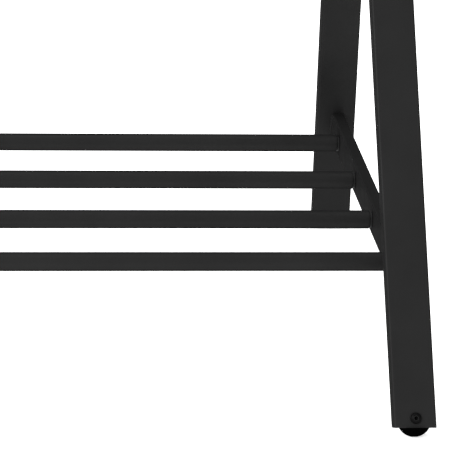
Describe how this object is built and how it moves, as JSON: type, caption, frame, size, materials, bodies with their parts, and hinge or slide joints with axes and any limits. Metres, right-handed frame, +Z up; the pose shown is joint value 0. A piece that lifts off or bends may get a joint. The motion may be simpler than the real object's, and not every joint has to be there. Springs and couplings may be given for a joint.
{
  "type": "garment rail",
  "caption": "Free-standing garment rail: inverted-Y end frames of flat steel tube, a slatted shelf of round bars low down, a hanging rail on top and domed levelling feet.",
  "frame": {"origin": "on the floor, midway between the four feet", "axes": "+Z up, +X to the right along the hanging rail, -Y towards the front"},
  "size_m": [1.2004, 0.6264, 1.5],
  "materials": {
    "powder_coated_steel": "satin black powder coat",
    "black_screw": "black oxide",
    "zinc_stem": "bright zinc",
    "end_plug": "moulded black plastic",
    "foot_pad": "smooth black"
  },
  "bodies": {
    "rack": {"front_left_leg": "powder_coated_steel", "front_left_foot_insert": "end_plug", "front_left_foot_clamp_screw": "black_screw", "rear_left_leg": "powder_coated_steel", "rear_left_foot_insert": "end_plug", "rear_left_foot_clamp_screw": "black_screw", "left_shelf_cross_member": "powder_coated_steel", "left_apex_plate": "powder_coated_steel", "left_post_spigot": "powder_coated_steel", "left_post": "powder_coated_steel", "left_post_cap": "end_plug", "left_post_bolt_1": "black_screw", "left_post_bolt_2": "black_screw", "left_rail_screw": "black_screw", "front_right_leg": "powder_coated_steel", "front_right_foot_insert": "end_plug", "front_right_foot_clamp_screw": "black_screw", "rear_right_leg": "powder_coated_steel", "rear_right_foot_insert": "end_plug", "rear_right_foot_clamp_screw": "black_screw", "right_shelf_cross_member": "powder_coated_steel", "right_apex_plate": "powder_coated_steel", "right_post_spigot": "powder_coated_steel", "right_post": "powder_coated_steel", "right_post_cap": "end_plug", "right_post_bolt_1": "black_screw", "right_post_bolt_2": "black_screw", "right_rail_screw": "black_screw", "shelf_bar_1": "powder_coated_steel", "shelf_bar_1_left_plug": "end_plug", "shelf_bar_1_left_screw": "black_screw", "shelf_bar_1_right_plug": "end_plug", "shelf_bar_1_right_screw": "black_screw", "shelf_bar_2": "powder_coated_steel", "shelf_bar_2_left_plug": "end_plug", "shelf_bar_2_left_screw": "black_screw", "shelf_bar_2_right_plug": "end_plug", "shelf_bar_2_right_screw": "black_screw", "shelf_bar_3": "powder_coated_steel", "shelf_bar_3_left_plug": "end_plug", "shelf_bar_3_left_screw": "black_screw", "shelf_bar_3_right_plug": "end_plug", "shelf_bar_3_right_screw": "black_screw", "shelf_bar_4": "powder_coated_steel", "shelf_bar_4_left_plug": "end_plug", "shelf_bar_4_left_screw": "black_screw", "shelf_bar_4_right_plug": "end_plug", "shelf_bar_4_right_screw": "black_screw", "hanging_rail": "powder_coated_steel", "hanging_rail_left_plug": "end_plug", "hanging_rail_right_plug": "end_plug"},
    "front_left_stem": {"front_left_foot_stem": "zinc_stem"},
    "front_left_pad": {"front_left_foot_pad": "foot_pad"},
    "rear_left_stem": {"rear_left_foot_stem": "zinc_stem"},
    "rear_left_pad": {"rear_left_foot_pad": "foot_pad"},
    "front_right_stem": {"front_right_foot_stem": "zinc_stem"},
    "front_right_pad": {"front_right_foot_pad": "foot_pad"},
    "rear_right_stem": {"rear_right_foot_stem": "zinc_stem"},
    "rear_right_pad": {"rear_right_foot_pad": "foot_pad"}
  },
  "joints": [
    {"name": "front_left_foot_travel", "type": "slide", "parent": "rack", "child": "front_left_pad", "axis": [0, -0.3546, -0.935], "range_m": [0, 0.008]},
    {"name": "front_left_stem_turn", "type": "hinge", "parent": "front_left_pad", "child": "front_left_stem", "pos_m": [-0.58, -0.3, 0.00893], "axis": [0, -0.3546, -0.935], "range_deg": [0, 2304]},
    {"name": "rear_left_foot_travel", "type": "slide", "parent": "rack", "child": "rear_left_pad", "axis": [0, 0.3546, -0.935], "range_m": [0, 0.008]},
    {"name": "rear_left_stem_turn", "type": "hinge", "parent": "rear_left_pad", "child": "rear_left_stem", "pos_m": [-0.58, 0.3, 0.00893], "axis": [0, 0.3546, -0.935], "range_deg": [0, 2304]},
    {"name": "front_right_foot_travel", "type": "slide", "parent": "rack", "child": "front_right_pad", "axis": [0, -0.3546, -0.935], "range_m": [0, 0.008]},
    {"name": "front_right_stem_turn", "type": "hinge", "parent": "front_right_pad", "child": "front_right_stem", "pos_m": [0.58, -0.3, 0.00893], "axis": [0, -0.3546, -0.935], "range_deg": [0, 2304]},
    {"name": "rear_right_foot_travel", "type": "slide", "parent": "rack", "child": "rear_right_pad", "axis": [0, 0.3546, -0.935], "range_m": [0, 0.008]},
    {"name": "rear_right_stem_turn", "type": "hinge", "parent": "rear_right_pad", "child": "rear_right_stem", "pos_m": [0.58, 0.3, 0.00893], "axis": [0, 0.3546, -0.935], "range_deg": [0, 2304]}
  ],
  "couplings": [
    {"joint": "front_left_foot_travel", "follows": "front_left_stem_turn", "m_per_rad": 0.00019894},
    {"joint": "rear_left_foot_travel", "follows": "rear_left_stem_turn", "m_per_rad": 0.00019894},
    {"joint": "front_right_foot_travel", "follows": "front_right_stem_turn", "m_per_rad": 0.00019894},
    {"joint": "rear_right_foot_travel", "follows": "rear_right_stem_turn", "m_per_rad": 0.00019894}
  ]
}
